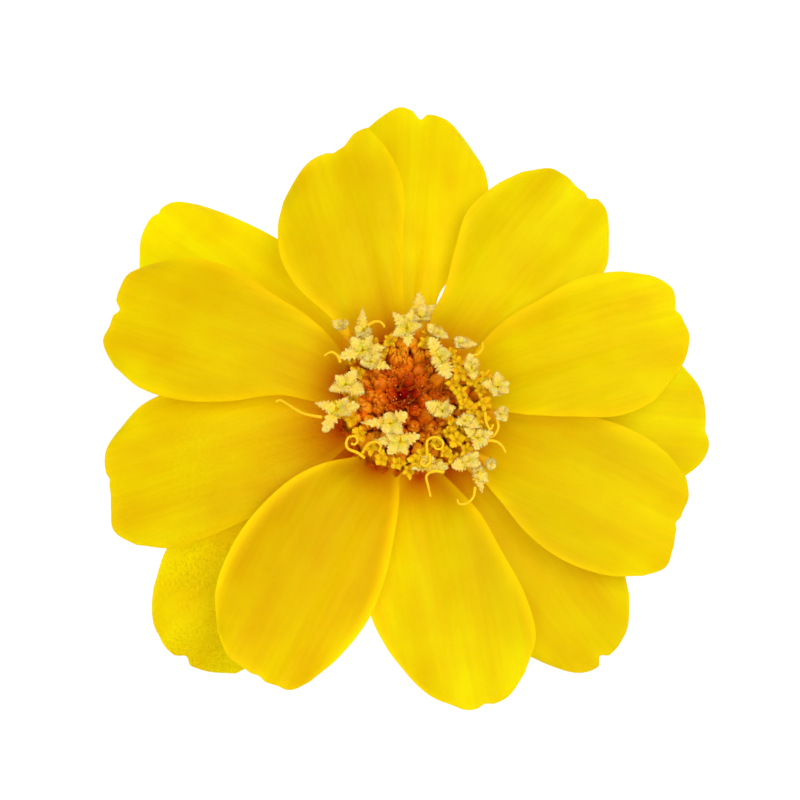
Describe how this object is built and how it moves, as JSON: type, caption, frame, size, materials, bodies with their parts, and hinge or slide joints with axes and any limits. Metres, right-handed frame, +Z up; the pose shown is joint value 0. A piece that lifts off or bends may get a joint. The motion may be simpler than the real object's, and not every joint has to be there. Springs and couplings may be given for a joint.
{
  "type": "preserved zinnia flower",
  "caption": "Preserved yellow zinnia flower head with layered notched petals, an orange disc ringed by star florets, and a green scaly cup, resting face up on its cut stem stub.",
  "frame": {"origin": "The middle of the flat cut end of the stem stub, on the surface that the head rests on.", "axes": "+Z runs up through the middle of the flower, out of its face. +X is to the right and +Y to the top of the flower as it is seen from above."},
  "size_m": [0.0608, 0.063, 0.0173],
  "materials": {
    "yellow_petal": "satin",
    "pale_floret": "matte",
    "orange_bud": "satin",
    "green_scale": "matte"
  },
  "bodies": {
    "root": {"involucre": "green_scale", "open_florets": "pale_floret", "disc_buds": "orange_bud", "ray_floret_01": "yellow_petal", "ray_floret_02": "yellow_petal", "ray_floret_03": "yellow_petal", "ray_floret_04": "yellow_petal", "ray_floret_05": "yellow_petal", "ray_floret_06": "yellow_petal", "ray_floret_07": "yellow_petal", "ray_floret_08": "yellow_petal", "ray_floret_09": "yellow_petal", "ray_floret_10": "yellow_petal", "ray_floret_11": "yellow_petal", "ray_floret_12": "yellow_petal", "ray_floret_13": "yellow_petal"}
  },
  "joints": []
}
